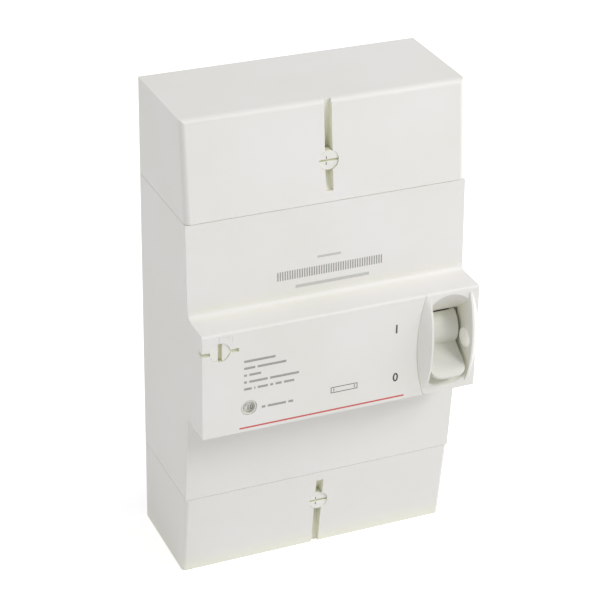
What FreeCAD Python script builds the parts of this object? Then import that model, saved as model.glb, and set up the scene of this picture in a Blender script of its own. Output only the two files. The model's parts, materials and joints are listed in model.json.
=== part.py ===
import FreeCAD, Part
import math
import os

from FreeCAD import Vector

# Four-pole service circuit breaker for a wall or a meter board.
# Frame: X to the right seen from the front, front towards -Y, +Z up.
# Origin: centre of the four fixing holes, on the mounting face at the back.
# Heights below are measured from the bottom end; save() moves them to the origin.

# Casing: four poles side by side, and the heights of its sections from the bottom up
poles = 4
pole_pitch = 30.0
side_room = 3.0
lower_cover_h = 40.3
under_nose_h = 43.2
nose_h = 48.7
over_nose_h = 41.7
upper_cover_h = 43.7
wall = 2.4
seam_gap = 0.2
fit_gap = 0.3
run_gap = 0.08
touch = 0.01

# Depth of the front, and how far each level stands behind or before it
front_depth = 56.0
bottom_taper = 5.1
seam_low_taper = 3.5
over_nose_step = 1.0
seam_high_taper = 2.1
top_taper = 5.0
nose_proud = 16.4
upper_edge_r = 2.6
lower_edge_r = 1.7
nose_edge_r = 1.1

# Base moulding
base_thick = 3.0
rib_thick = 1.6
rib_front_room = 10.0
rib_end_room = 5.8
screw_boss_half = 6.0
screw_boss_depth = 5.0
fixing_hole_r = 2.6
window_w = 16.0
window_h = 14.0
window_in = 12.6
leg_sink = 0.6
leg_slot_sink = 1.0
leg_slot_room = 2.0
anvil_seat_half = 4.0
yoke_seat_half = 5.0

# Terminals and current path
strip_w = 10.0
strip_thick = 1.5
strip_back = 8.5
terminal_w = 13.0
terminal_h = 14.0
terminal_d = 17.0
terminal_up = 29.0
terminal_down = 29.1
conductor_r = 4.0
bore_forward = 1.0
clamp_screw_r = 2.5
clamp_screw_l = 13.0
clamp_open_gap = 0.4
clamp_slot_w = 1.2
clamp_slot_d = 1.4
anvil_up = 42.6
contact_pad_half = 3.0
contact_pad_h = 1.5
pad_margin = 1.0
shelf_front = 3.0

# Contact bar and arms
bar_y = -24.0
bar_r = 5.0
bar_half = 3.5
journal_l = 2.4
bar_end = 1.0
hub_w = 9.0
hub_half = 6.0
arm_w = 7.0
arm_thick = 2.2
arm_rest_deg = 12.5
arm_travel_deg = 28.0
tip_r = 2.2
tip_flat = 1.1
blade_thick = 0.5
blade_w = 4.0
blade_l = 18.0
web_thick = 1.4
web_half = 3.0
braid_thick = 1.2
braid_w = 5.0
braid_gap = 2.9
braid_drop = 4.0
braid_bend = 6.0
braid_lap = 2.0

# Handle
lever_up = 24.9
lever_in = 15.2
lever_gap_left = 0.7
lever_gap_right = 1.4
drum_r = 9.6
drum_wall = 2.0
drum_end = 2.4
drum_open_from = 62.0
drum_open_to = 216.0
drum_pocket_sides = 4
drum_back = 4.4
lever_travel_deg = 82.0
tab_face_deg = -37.5
tab_reach = 25.6
tab_thick = 3.4
tab_corner_r = 4.6
tab_crown = 0.9
tab_tip_thick = 1.3
pivot_r = 2.5
crank_r = 3.5
crank_pin_r = 1.2
crank_pin_seat = 1.6
link_pin_end = 1.8
link_thick = 1.6
link_eye_r = 2.6
link_half_h = 1.3
link_slack = 0.35

# Handle recess and cheeks
recess_margin = 4.4
recess_w = 18.3
recess_rim_low = 2.1
recess_rim_high = 2.0
recess_arch = 4.2
slot_arch = 0.05
slot_half = 8.9
slot_in = 11.0
recess_wall = 1.6
cheek_rise = 4.6
cheek_margin = 2.35
cheek_ridge = 0.9
cheek_base = 4.2
cheek_sweep_deg = 60.0
root = 0.4
crease_w = 0.3
crease_gap = 0.4
crease_deep = 0.4
crease_bow = 3.7
boss_in = 2.3
boss_down = 1.5
boss_r = 4.1
boss_rise = 1.1

# Frame plates of the mechanism
plate_thick = 1.2
plate_gap_left = 1.4
plate_gap_right = 0.8
plate_foot_drop = 35.4
plate_foot_h = 16.0
plate_heel = 9.0
plate_shoulder = 8.0
plate_top_room = 4.0
plate_brow_in = 4.2
plate_front_up = 11.6
plate_front_down = 12.4
plate_chin_front = 6.0
plate_chin_back = 12.0
plate_chin_drop = 14.0
spacer_r = 1.5
spacer_half = 2.2
spacer_back_in = 15.0
spacer_back_drop = 28.4
spacer_front_in = 4.0
spacer_front_drop = 19.9

# Trip gear
trip_back = 16.2
trip_drop = 10.4
trip_r = 2.2
trip_left_room = 6.6
trip_post_w = 3.6
trip_post_half = 5.0
finger_w = 6.0
finger_thick = 1.6
finger_drop = 8.0
catch_w = 3.0
catch_h = 6.0
catch_thick = 2.0
catch_gap = 2.4
latch_up = 15.6
latch_thick = 2.0
latch_half = 1.6
latch_gap = 2.6
toe_gap = 0.4
bimetal_back = 12.0
bimetal_w = 7.0
bimetal_thick = 1.0
bimetal_foot_drop = 54.4
bimetal_foot_l = 4.0
bimetal_top_drop = 5.0
yoke_wall = 1.6
yoke_back_gap = 2.4
yoke_w = 16.2
yoke_up = 8.0
yoke_h = 12.0
yoke_front = 2.0
ear_root = 4.0
ear_reach = 2.4
ear_top = 2.6
armature_back = 4.0
armature_up = 5.0
armature_w = 12.0
armature_thick = 1.4
armature_foot_up = 1.0
armature_top_drop = 6.0
axle_r = 0.9

# Arc chutes
chute_half_w = 11.4
chute_side = 1.0
chute_down = 12.0
chute_up = 16.0
chute_front_room = 15.0
chute_lid_start = 2.0
arc_plates = 5
arc_plate_thick = 1.2
arc_plate_end = 3.8
arc_plate_in = 15.0
arc_slot_half = 4.8
arc_mouth_up = 4.0
arc_mouth_peak = 4.0

# Sealing screws
seal_x = 0.6
seal_from_top = 25.9
seal_from_bottom = 23.8
seal_head_r = 4.3
seal_head_h = 4.0
seal_sink = 0.4
seal_slot_w = 0.9
seal_slot_d = 1.2
nose_slot_w = 1.9
nose_slot_d = 2.2
seal_shank_half = 1.1
seal_foot_l = 6.6
seal_foot_w = 2.6
seal_foot_h = 1.6
seal_shank_l = 14.0
post_half = 5.0
post_bore_half = 3.8
post_cap = 1.6
groove_w = 3.4
groove_end_depth = 1.7
groove_deep = 6.5
groove_seam_room = 4.6
backing_overrun = 1.0
backing_share = 0.35
nose_seal_side = 7.9
nose_seal_down = 8.7
wire_w = 1.8
wire_deep = 4.4
wire_shallow = 1.4
wire_run = 4.0

# Rating window and dial
dial_side = 20.7
dial_up = 11.3
window_r = 3.5
window_sink = 0.3
window_thick = 1.9
dial_r = 5.6
dial_thick = 3.2
dial_shaft_half = 1.4
dial_shaft_l = 6.0
dial_tube_wall = 2.0
retainer_thick = 1.4

# Places that follow from the sizes above
width = poles * pole_pitch + 2 * side_room
half = width / 2
inner_half = half - wall
seam_low = lower_cover_h
nose_low = seam_low + under_nose_h
nose_high = nose_low + nose_h
seam_high = nose_high + over_nose_h
height = seam_high + upper_cover_h
depth_seam_low = front_depth - seam_low_taper
depth_bottom = depth_seam_low - bottom_taper
depth_over_nose = front_depth + over_nose_step
depth_seam_high = depth_over_nose - seam_high_taper
depth_top = depth_seam_high - top_taper
nose_depth = depth_over_nose + nose_proud
load_terminal_z = terminal_up
line_terminal_z = height - terminal_down
fixing_low_z = load_terminal_z
fixing_high_z = line_terminal_z
origin_z = (fixing_low_z + fixing_high_z) / 2
window_low_z = window_in
window_high_z = height - window_in
rib_depth = front_depth - rib_front_room
strip_front_y = -strip_back - strip_thick
bore_y = strip_front_y - terminal_d / 2 + bore_forward

recess_right = half - recess_margin
recess_left = recess_right - recess_w
recess_low = nose_low + recess_rim_low
recess_high = nose_high - recess_rim_high
slot_y = -nose_depth + slot_in
lever_left = recess_left + lever_gap_left
lever_right = recess_right - lever_gap_right
link_x = (lever_left + lever_right) / 2
lever_y = -nose_depth + lever_in
lever_z = nose_low + lever_up
plate_left_x = lever_left - plate_gap_left - plate_thick
plate_right_x = lever_right + plate_gap_right
# Both cranks stand square to the level link when the handle is half way
bar_crank_r = crank_r * math.sin(math.radians(lever_travel_deg / 2)) \
    / math.sin(math.radians(arm_travel_deg / 2))
bar_z = lever_z - crank_r + bar_crank_r
anvil_z = lever_z + anvil_up
trip_y = lever_y + trip_back
trip_z = lever_z - trip_drop
trip_left = -inner_half + trip_left_room
latch_z = lever_z + latch_up
bimetal_y = trip_y + bimetal_back
bimetal_foot_z = lever_z - bimetal_foot_drop
bimetal_top_z = trip_z - bimetal_top_drop
yoke_back_y = bimetal_y + yoke_back_gap + yoke_wall
yoke_low = bimetal_foot_z + yoke_up
yoke_high = yoke_low + yoke_h
armature_y = trip_y + armature_back
armature_z = yoke_high + armature_up
chute_low = anvil_z - chute_down
chute_high = anvil_z + chute_up
chute_front = -front_depth + chute_front_room
arc_plate_first = -arc_plate_in
arc_plate_last = chute_front + arc_plate_end + arc_plate_thick
seal_high_z = height - seal_from_top
seal_low_z = seal_from_bottom
nose_seal_x = -half + nose_seal_side
nose_seal_z = nose_high - nose_seal_down
dial_x = -half + dial_side
dial_z = nose_low + dial_up


def box(x0, x1, y0, y1, z0, z1):
    xs, ys, zs = sorted((x0, x1)), sorted((y0, y1)), sorted((z0, z1))
    corner = Vector(xs[0], ys[0], zs[0])
    return Part.makeBox(xs[1] - xs[0], ys[1] - ys[0], zs[1] - zs[0], corner)


def block(x, z, half_x, half_z, y0, y1):
    """A box centred on (x, z) that runs from y0 to y1."""
    return box(x - half_x, x + half_x, y0, y1, z - half_z, z + half_z)


def rod_x(y, z, r, x0, x1):
    return Part.makeCylinder(r, abs(x1 - x0), Vector(min(x0, x1), y, z), Vector(1, 0, 0))


def square_x(y, z, half_side, x0, x1):
    """A square bar along X."""
    return box(x0, x1, y - half_side, y + half_side, z - half_side, z + half_side)


def rod_y(x, z, r, y0, y1):
    return Part.makeCylinder(r, abs(y1 - y0), Vector(x, min(y0, y1), z), Vector(0, 1, 0))


def rod_z(x, y, r, z0, z1):
    return Part.makeCylinder(r, abs(z1 - z0), Vector(x, y, min(z0, z1)), Vector(0, 0, 1))


def prism_x(points, x0, x1):
    """A YZ outline pushed along X."""
    wire = Part.makePolygon([Vector(min(x0, x1), y, z) for y, z in points + points[:1]])
    return Part.Face(wire).extrude(Vector(abs(x1 - x0), 0, 0))


def prism_y(points, y0, y1):
    """An XZ outline pushed along Y."""
    wire = Part.makePolygon([Vector(x, min(y0, y1), z) for x, z in points + points[:1]])
    return Part.Face(wire).extrude(Vector(0, abs(y1 - y0), 0))


def turned_x(shape, y, z, deg):
    """Turn a shape about the X direction through (y, z)."""
    copy = shape.copy()
    copy.rotate(Vector(0, y, z), Vector(1, 0, 0), deg)
    return copy


def fuse(shapes):
    body = shapes[0]
    if len(shapes) > 1:
        body = body.multiFuse(shapes[1:])
    return body.removeSplitter()


def save(name, shape):
    placed = shape.copy()
    placed.translate(Vector(0, 0, -origin_z))
    placed.exportStep("parts/" + name + ".step")


def pole_x(index):
    return (index - (poles - 1) / 2) * pole_pitch


def partition_x(index):
    """Middle of the partition to the right of a pole."""
    return pole_x(index) + pole_pitch / 2


def between(z, low_z, low_depth, high_z, high_depth):
    """Front face (a Y value) on the straight line between two depths."""
    return -(low_depth + (high_depth - low_depth) * (z - low_z) / (high_z - low_z))


def lower_front(z):
    return between(z, 0.0, depth_bottom, seam_low, depth_seam_low)


def upper_front(z):
    return between(z, seam_high, depth_seam_high, height, depth_top)


def outer_edges(shape, test):
    """Edges whose every end and middle point passes the test."""
    chosen = []
    for edge in shape.Edges:
        ends = [v.Point for v in edge.Vertexes]
        if ends and all(test(p) for p in ends) and test(edge.CenterOfMass):
            chosen.append(edge)
    return chosen


# Sealing screws: a slotted head, a square shank and a cross foot that locks after a quarter turn
def seal_screw(x, z, face_y, foot_upright, slot_w, slot_d):
    head_top = face_y + seal_sink
    head_low = head_top + seal_head_h
    foot_top = head_low + seal_shank_l
    head = rod_y(x, z, seal_head_r, head_top, head_low)
    shank = block(x, z, seal_shank_half, seal_shank_half, head_low - touch, foot_top + touch)
    foot_x, foot_z = seal_foot_l / 2, seal_foot_w / 2
    slot_x, slot_z = seal_head_r + 1, slot_w / 2
    if foot_upright:
        foot_x, foot_z = foot_z, foot_x
        slot_x, slot_z = slot_z, slot_x
    foot = block(x, z, foot_x, foot_z, foot_top, foot_top + seal_foot_h)
    slot = block(x, z, slot_x, slot_z, head_top - 1, head_top + slot_d)
    return fuse([head, shank, foot]).cut(slot)


def seal_key(x, z, foot_upright, y0, y1):
    """Slot that lets the foot through; it lies across the foot of a locked screw."""
    key_x, key_z = seal_foot_w / 2 + fit_gap, seal_foot_l / 2 + fit_gap
    if foot_upright:
        key_x, key_z = key_z, key_x
    return block(x, z, key_x, key_z, y0, y1)


def seal_post(x, z, face_y, foot_upright):
    """Square hollow post on the base; the screw's cross foot turns under its cap."""
    foot_top = face_y + seal_sink + seal_head_h + seal_shank_l
    cap_under = foot_top - fit_gap
    cap_top = cap_under - post_cap
    post = block(x, z, post_half, post_half, cap_top, -base_thick)
    bore = block(x, z, post_bore_half, post_bore_half, cap_under, -base_thick)
    return post.cut(bore).cut(seal_key(x, z, foot_upright, cap_top - 1, cap_under + 1))


def seal_floor(face_y):
    """Seat under a sealing screw's head."""
    return face_y + seal_sink + seal_head_h + run_gap


def seal_boss(x, z, face_y):
    """Square boss behind a cover's face that carries a sealing screw's head."""
    reach = seal_head_r + wall
    return block(x, z, reach, reach, face_y + wall / 2, seal_floor(face_y) + wall)


def seal_hole(x, z, face_y, foot_upright):
    floor = seal_floor(face_y)
    well = rod_y(x, z, seal_head_r + run_gap, face_y - 2, floor)
    return well.fuse(seal_key(x, z, foot_upright, floor - 1, floor + wall + groove_deep))


# Terminal covers
def shell(outline, inner_outline):
    outer = prism_x(outline, -half, half)
    inner = prism_x(inner_outline, -inner_half, inner_half)
    return outer, inner


def seal_groove(front, z_edge, z_screw, z_inner):
    """Ramp groove for the sealing wire, deepest at the screw, open at the cover's end."""
    sign = 1 if z_edge > z_screw else -1
    past = z_edge + sign * wall
    points = [
        (front(past) - wall, past),
        (front(z_edge) + groove_end_depth, past),
        (front(z_edge) + groove_end_depth, z_edge - sign * 2),
        (front(z_screw) + groove_deep, z_screw + sign * seal_head_r),
        (front(z_screw) + groove_deep, z_screw),
        (front(z_inner) + groove_end_depth, z_inner),
        (front(z_inner) - wall, z_inner),
    ]
    return prism_x(points, seal_x - groove_w / 2, seal_x + groove_w / 2)


def groove_backing(front, z_a, z_b, z_screw):
    """Thicker rib behind the groove, so that its floor stays closed."""
    depth = groove_deep + wall
    points = [
        (front(z_a) + wall / 2, z_a),
        (front(z_b) + wall / 2, z_b),
        (front(z_b) + wall * 2, z_b),
        (front(z_screw) + depth, z_screw + (z_b - z_screw) * backing_share),
        (front(z_screw) + depth, z_screw + (z_a - z_screw) * backing_share),
        (front(z_a) + wall * 2, z_a),
    ]
    return prism_x(points, seal_x - groove_w / 2 - wall, seal_x + groove_w / 2 + wall)


def on_front(p, front):
    """True on the upright edges between a cover's front and its sides."""
    return abs(abs(p.x) - half) < touch and p.y < -1 and abs(p.y - front(p.z)) < touch


def upper_terminal_cover():
    low = seam_high + seam_gap / 2
    outer, inner = shell(
        [(0, low), (upper_front(low), low), (upper_front(height), height), (0, height)],
        [
            (1, low - 1),
            (upper_front(low) + wall, low - 1),
            (upper_front(height) + wall, height - wall),
            (1, height - wall),
        ],
    )
    rounded = outer_edges(outer, lambda p: on_front(p, upper_front))
    rounded += outer_edges(outer, lambda p: abs(p.z - height) < touch and p.y < upper_front(height) + touch)
    outer = outer.makeFillet(upper_edge_r, rounded)
    face = upper_front(seal_high_z)
    z_inner = seam_high + groove_seam_room
    backing = groove_backing(upper_front, z_inner - backing_overrun, height - wall / 2, seal_high_z)
    body = fuse([outer.cut(inner), backing, seal_boss(seal_x, seal_high_z, face)])
    groove = seal_groove(upper_front, height, seal_high_z, z_inner)
    return body.cut(groove).cut(seal_hole(seal_x, seal_high_z, face, False))


def lower_terminal_cover():
    high = seam_low - seam_gap / 2
    outer, inner = shell(
        [(0, 0), (lower_front(0), 0), (lower_front(high), high), (0, high)],
        [
            (1, wall),
            (lower_front(0) + wall, wall),
            (lower_front(high) + wall, high + 1),
            (1, high + 1),
        ],
    )
    outer = outer.makeFillet(lower_edge_r, outer_edges(outer, lambda p: on_front(p, lower_front)))
    face = lower_front(seal_low_z)
    z_inner = seam_low - groove_seam_room
    backing = groove_backing(lower_front, wall / 2, z_inner + backing_overrun, seal_low_z)
    body = fuse([outer.cut(inner), backing, seal_boss(seal_x, seal_low_z, face)])
    groove = seal_groove(lower_front, 0.0, seal_low_z, z_inner)
    return body.cut(groove).cut(seal_hole(seal_x, seal_low_z, face, False))


# Middle cover with the nose and the handle recess
def recess_wire(y, low, high, arch, past):
    """Outline of the handle recess at one depth; its arcs run on past the upright sides."""
    mid, reach = (recess_left + recess_right) / 2, (recess_right - recess_left) / 2
    radius = (reach ** 2 + arch ** 2) / (2 * arch)
    left, right = mid - reach - past, mid + reach + past
    drop = radius - math.sqrt(radius ** 2 - (reach + past) ** 2)
    corners = [Vector(left, y, low + drop), Vector(left, y, high - drop),
               Vector(right, y, high - drop), Vector(right, y, low + drop)]
    top = Part.Arc(corners[1], Vector(mid, y, high), corners[2]).toShape()
    bottom = Part.Arc(corners[3], Vector(mid, y, low), corners[0]).toShape()
    return Part.Wire([Part.makeLine(corners[0], corners[1]), top,
                      Part.makeLine(corners[2], corners[3]), bottom])


def recess_funnel(front_y, back_y):
    """Hollow behind the arched mouth, closing to the drum's slot, with flat upright sides."""
    wires = [
        recess_wire(front_y, recess_low, recess_high, recess_arch, fit_gap),
        recess_wire(back_y, lever_z - slot_half, lever_z + slot_half, slot_arch, fit_gap),
    ]
    sides = box(recess_left, recess_right, front_y - 1, back_y + 1, nose_low, nose_high)
    return Part.makeLoft(wires, True, True).common(sides)


def recess_tub():
    """Walls behind the face that close the hollow off from the inside."""
    front, back = -nose_depth + wall / 2, slot_y
    outline = [(front, recess_low - recess_wall), (front, recess_high + recess_wall),
               (back, lever_z + slot_half + recess_wall), (back, lever_z - slot_half - recess_wall)]
    return prism_x(outline, recess_left - recess_wall, recess_right + recess_wall)


def cheek(inner_x, side):
    """Ridge beside the handle: a slice of a cone whose axis runs along X."""
    span = nose_h - 2 * cheek_margin
    ridge_radius = ((span / 2) ** 2 + cheek_rise ** 2) / (2 * cheek_rise)
    axis_y = -nose_depth - cheek_rise + ridge_radius
    ridge_x = inner_x + side * cheek_ridge
    foot_x = ridge_x + side * cheek_base
    foot_radius = ridge_radius - cheek_rise
    core_radius = foot_radius - wall
    profile = [(inner_x, core_radius), (inner_x, ridge_radius), (ridge_x, ridge_radius),
               (foot_x, foot_radius), (foot_x, core_radius)]
    points = [Vector(x, axis_y - r, lever_z) for x, r in profile]
    face = Part.Face(Part.makePolygon(points + points[:1]))
    face.rotate(Vector(0, axis_y, lever_z), Vector(1, 0, 0), -cheek_sweep_deg / 2)
    cone = face.revolve(Vector(0, axis_y, lever_z), Vector(1, 0, 0), cheek_sweep_deg)
    keep = box(-half, half, -nose_depth + root, -nose_depth - cheek_rise - 1, nose_low, nose_high)
    return cone.common(keep)


def cheek_crease():
    """Fine joint line that bows along the foot of the left cheek."""
    apex_x = recess_left - cheek_ridge - cheek_base - crease_gap
    radius = ((nose_h / 2) ** 2 + crease_bow ** 2) / (2 * crease_bow)
    front, floor = -nose_depth - 1, -nose_depth + crease_deep
    ring = rod_y(apex_x + radius, lever_z, radius + crease_w, front, floor)
    ring = ring.cut(rod_y(apex_x + radius, lever_z, radius, front, floor))
    keep = box(apex_x - 1, recess_left - cheek_ridge, front, floor, nose_low - 1, nose_high + 1)
    return ring.common(keep)


def middle_outline(inset):
    """Side outline of the middle cover, moved inwards by inset."""
    low, high = seam_low + seam_gap / 2, seam_high - seam_gap / 2
    return [
        (inset, low + inset),
        (-depth_seam_low + inset, low + inset),
        (-front_depth + inset, nose_low + inset),
        (-nose_depth + inset, nose_low + inset),
        (-nose_depth + inset, nose_high - inset),
        (-depth_over_nose + inset, nose_high - inset),
        (-depth_seam_high + inset, high - inset),
        (inset, high - inset),
    ]


def nose_grooves():
    """Sealing-wire grooves on both sides of the nose screw."""
    face = -nose_depth
    mid = nose_seal_z
    left = [(-half - 1, face - 1), (-half - 1, face + wire_deep), (-half, face + wire_deep),
            (nose_seal_x - seal_head_r + 0.4, face + wire_shallow), (nose_seal_x, face + wire_shallow),
            (nose_seal_x, face - 1)]
    wire = Part.makePolygon([Vector(x, y, mid - wire_w / 2) for x, y in left + left[:1]])
    left_cut = Part.Face(wire).extrude(Vector(0, 0, wire_w))
    end_x = nose_seal_x + seal_head_r + wire_run
    right_cut = box(nose_seal_x, end_x, face - 1, face + wire_shallow, mid - wire_w / 2, mid + wire_w / 2)
    return left_cut.fuse(right_cut)


def recess_dome():
    """Rounded boss on the right wall of the handle recess."""
    dome_r = (boss_r ** 2 + boss_rise ** 2) / (2 * boss_rise)
    y, z = -nose_depth + boss_in, lever_z - boss_down
    dome = Part.makeSphere(dome_r, Vector(recess_right - boss_rise + dome_r, y, z))
    reach = boss_r + 1
    keep = box(recess_right - boss_rise - 1, recess_right + root, y - reach, y + reach, z - reach, z + reach)
    return dome.common(keep)


def middle_cover():
    face = -nose_depth
    outer = prism_x(middle_outline(0), -half, half)
    rim = outer_edges(outer, lambda p: abs(p.y - face) < touch and abs(p.z - nose_high) < touch)
    outer = outer.makeFillet(nose_edge_r, rim)
    inner = prism_x(middle_outline(wall), -inner_half, inner_half)
    low, high = seam_low + seam_gap / 2, seam_high - seam_gap / 2
    ends = box(-inner_half, inner_half, 1, -base_thick - strip_back, low - 1, high + 1)
    tube_half = dial_r + dial_tube_wall
    dial_tube = block(dial_x, dial_z, tube_half, tube_half, face + wall / 2, face + wall + dial_thick)
    boss = seal_boss(nose_seal_x, nose_seal_z, face)
    body = fuse([outer.cut(inner).cut(ends), recess_tub(), dial_tube, boss,
                 cheek(recess_left, -1), cheek(recess_right, 1)])
    body = body.cut(recess_funnel(face - touch, slot_y + touch))
    mouth = recess_wire(face - cheek_rise - 1, recess_low, recess_high, recess_arch, 0.0)
    body = body.cut(Part.Face(mouth).extrude(Vector(0, cheek_rise + 1, 0)))
    body = body.cut(rod_x(lever_y, lever_z, drum_r + fit_gap, recess_left, recess_right))
    room_half = dial_r + run_gap
    dial_room = block(dial_x, dial_z, room_half, room_half, face + wall, face + wall + dial_thick + 1)
    window_hole = rod_y(dial_x, dial_z, window_r + run_gap, face - 1, face + wall + 1)
    body = body.cut(dial_room).cut(window_hole).cut(cheek_crease())
    body = body.cut(nose_grooves()).cut(seal_hole(nose_seal_x, nose_seal_z, face, True))
    side_trim = box(-half, half, -nose_depth - cheek_rise - 1, 1, 0, height)
    return fuse([body.common(side_trim), recess_dome()])


# Base moulding
def base_seats():
    """Raised seats that carry the current path and the magnet yokes."""
    seats = []
    for index in range(poles):
        x = pole_x(index)
        for z in (line_terminal_z, load_terminal_z):
            seats.append(block(x, z, strip_w / 2, terminal_h / 2 - pad_margin, -base_thick, -strip_back))
        seats.append(block(x, anvil_z, strip_w / 2, anvil_seat_half, -base_thick, -strip_back))
        if index < poles - 1:
            middle = (yoke_low + yoke_high) / 2
            seats.append(block(x, middle, yoke_seat_half, yoke_h / 2, -base_thick, yoke_back_y))
    return seats


def notch(x, y, z, reach, half_w):
    """Square-bottomed slot in a partition, open to the front, where a bar lies."""
    return box(x - half_w, x + half_w, y + reach, -rib_depth - 1, z - reach, z + reach)


def base():
    edge_x = inner_half - fit_gap
    low, high = wall + fit_gap, height - wall - fit_gap
    pieces = [box(-edge_x, edge_x, 0, -base_thick, low, high)] + base_seats()
    partitions = [partition_x(index) for index in range(poles - 1)]
    for x in partitions:
        pieces.append(box(x - rib_thick / 2, x + rib_thick / 2, -base_thick, -rib_depth,
                          seam_low + rib_end_room, seam_high - rib_end_room))
    fixings = [(x, z) for z in (fixing_low_z, fixing_high_z) for x in (-pole_pitch, pole_pitch)]
    for x, z in fixings:
        pieces.append(block(x, z, screw_boss_half, screw_boss_half, -base_thick, -screw_boss_depth))
    trip_post_x = trip_left - trip_post_w / 2 + 1
    pieces += [
        seal_post(seal_x, seal_high_z, upper_front(seal_high_z), False),
        seal_post(seal_x, seal_low_z, lower_front(seal_low_z), False),
        seal_post(nose_seal_x, nose_seal_z, -nose_depth, True),
        block(trip_post_x, trip_z, trip_post_w / 2, trip_post_half, -base_thick,
              trip_y - trip_r - pad_margin),
    ]
    cuts = []
    for index in range(poles):
        for z in (window_low_z, window_high_z):
            cuts.append(block(pole_x(index), z, window_w / 2, window_h / 2, 1, -base_thick - 1))
    for x, z in fixings:
        cuts.append(rod_y(x, z, fixing_hole_r, 1, -screw_boss_depth - 1))
    for x in partitions:
        cuts.append(notch(x, bar_y, bar_z, bar_r + fit_gap, rib_thick))
        cuts.append(notch(x, trip_y, trip_z, trip_r + fit_gap, rib_thick))
    cuts.append(notch(trip_post_x + 1, trip_y, trip_z, trip_r + run_gap, trip_post_w / 2))
    leg_z = lever_z - plate_foot_drop + plate_foot_h / 2
    leg_room = plate_thick / 2 + fit_gap
    for x in (plate_left_x, plate_right_x):
        cuts.append(block(x + plate_thick / 2, leg_z, leg_room, plate_foot_h / 2 + leg_slot_room,
                          leg_slot_sink - base_thick, -base_thick - 1))
    return fuse(pieces).cut(fuse(cuts))


# Current path
def line_strip(x):
    """Flat strip from the line terminal down to the fixed contact pad."""
    top = line_terminal_z + terminal_h / 2
    low = anvil_z - contact_pad_half - pad_margin
    strip = box(x - strip_w / 2, x + strip_w / 2, -strip_back, strip_front_y, low, top)
    pad = block(x, anvil_z, contact_pad_half, contact_pad_half, strip_front_y,
                strip_front_y - contact_pad_h)
    return fuse([strip, pad])


def load_strip(x):
    """Flat strip from the load terminal up, then forward under the bimetal."""
    low = load_terminal_z - terminal_h / 2
    shelf = bimetal_foot_z
    tip_y = bimetal_y - shelf_front
    points = [
        (-strip_back, low), (strip_front_y, low), (strip_front_y, shelf - strip_thick),
        (tip_y, shelf - strip_thick), (tip_y, shelf), (-strip_back, shelf),
    ]
    return prism_x(points, x - strip_w / 2, x + strip_w / 2)


def neutral_strip(x):
    """The fourth pole has no trip unit: its strip runs straight up to the braid."""
    low = load_terminal_z - terminal_h / 2
    return box(x - strip_w / 2, x + strip_w / 2, -strip_back, strip_front_y, low, trip_z)


def terminal(x, z):
    """Tunnel clamp: a block with a round conductor tunnel and a tapped hole for its screw."""
    front = strip_front_y - terminal_d
    body = block(x, z, terminal_w / 2, terminal_h / 2, strip_front_y, front)
    bore = rod_z(x, bore_y, conductor_r, z - terminal_h, z + terminal_h)
    tapped = rod_y(x, z, clamp_screw_r + run_gap, bore_y, front - 1)
    return body.cut(bore).cut(tapped)


def terminal_screw(x, z):
    """Slotted grub screw, wound out until the bore is clear for the conductor."""
    tip = bore_y - conductor_r - clamp_open_gap
    top = tip - clamp_screw_l
    slot = block(x, z, clamp_slot_w / 2, clamp_screw_r + 1, top - 1, top + clamp_slot_d)
    return rod_y(x, z, clamp_screw_r, tip, top).cut(slot)


def bimetal(x):
    strip = box(x - bimetal_w / 2, x + bimetal_w / 2, bimetal_y, bimetal_y - bimetal_thick,
                bimetal_foot_z, bimetal_top_z)
    foot = box(x - bimetal_w / 2, x + bimetal_w / 2, bimetal_y + bimetal_foot_l, bimetal_y,
               bimetal_foot_z, bimetal_foot_z + bimetal_thick)
    return fuse([strip, foot])


def braid(x, start_y, start_z):
    """Flexible braid from behind the contact hub to the fixed conductor."""
    top_y, top_z = bar_y + hub_half + braid_gap, bar_z - braid_drop
    points = [
        (top_y, top_z), (top_y + braid_thick, top_z), (top_y + braid_thick, top_z - braid_bend),
        (start_y + braid_thick, start_z + braid_lap), (start_y + braid_thick, start_z - braid_bend),
        (start_y, start_z - braid_bend), (start_y, start_z + braid_lap), (top_y, top_z - braid_bend),
    ]
    return prism_x(points, x - braid_w / 2, x + braid_w / 2)


def arc_holder(x):
    """Two fibre side walls joined by a wall above the plates."""
    left, right = x - chute_half_w, x + chute_half_w
    side_a = box(left, left + chute_side, -base_thick, chute_front, chute_low, chute_high)
    side_b = box(right - chute_side, right, -base_thick, chute_front, chute_low, chute_high)
    top = box(left, right, arc_plate_first + chute_lid_start, chute_front,
              chute_high - chute_side, chute_high)
    return fuse([side_a, side_b, top])


def arc_stack(x):
    """Splitter plates, each with a V mouth round the contact arm's path."""
    stack = []
    reach = chute_half_w - chute_side - run_gap
    high = chute_high - chute_side - run_gap
    mouth = anvil_z + arc_mouth_up
    outline = [
        (x - reach, chute_low), (x - arc_slot_half, chute_low), (x - arc_slot_half, mouth),
        (x, mouth + arc_mouth_peak), (x + arc_slot_half, mouth), (x + arc_slot_half, chute_low),
        (x + reach, chute_low), (x + reach, high), (x - reach, high),
    ]
    for index in range(arc_plates):
        y = arc_plate_first + (arc_plate_last - arc_plate_first) * index / (arc_plates - 1)
        stack.append(prism_y(outline, y, y - arc_plate_thick))
    return stack


# Contact bar with its arms
def contact_bar():
    """Square bar with round journals in the outer partitions and a hub for each arm."""
    end_x = link_x + link_thick / 2 + fit_gap + web_thick + bar_end
    pieces = [square_x(bar_y, bar_z, bar_half, pole_x(0), end_x)]
    for index in range(poles):
        x = pole_x(index)
        pieces.append(square_x(bar_y, bar_z, hub_half, x - hub_w / 2, x + hub_w / 2))
    pieces = [turned_x(piece, bar_y, bar_z, arm_rest_deg) for piece in pieces]
    for x in (partition_x(0), partition_x(poles - 2)):
        pieces.append(rod_x(bar_y, bar_z, bar_r, x - journal_l / 2, x + journal_l / 2))
    return fuse(pieces + [bar_crank()])


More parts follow.
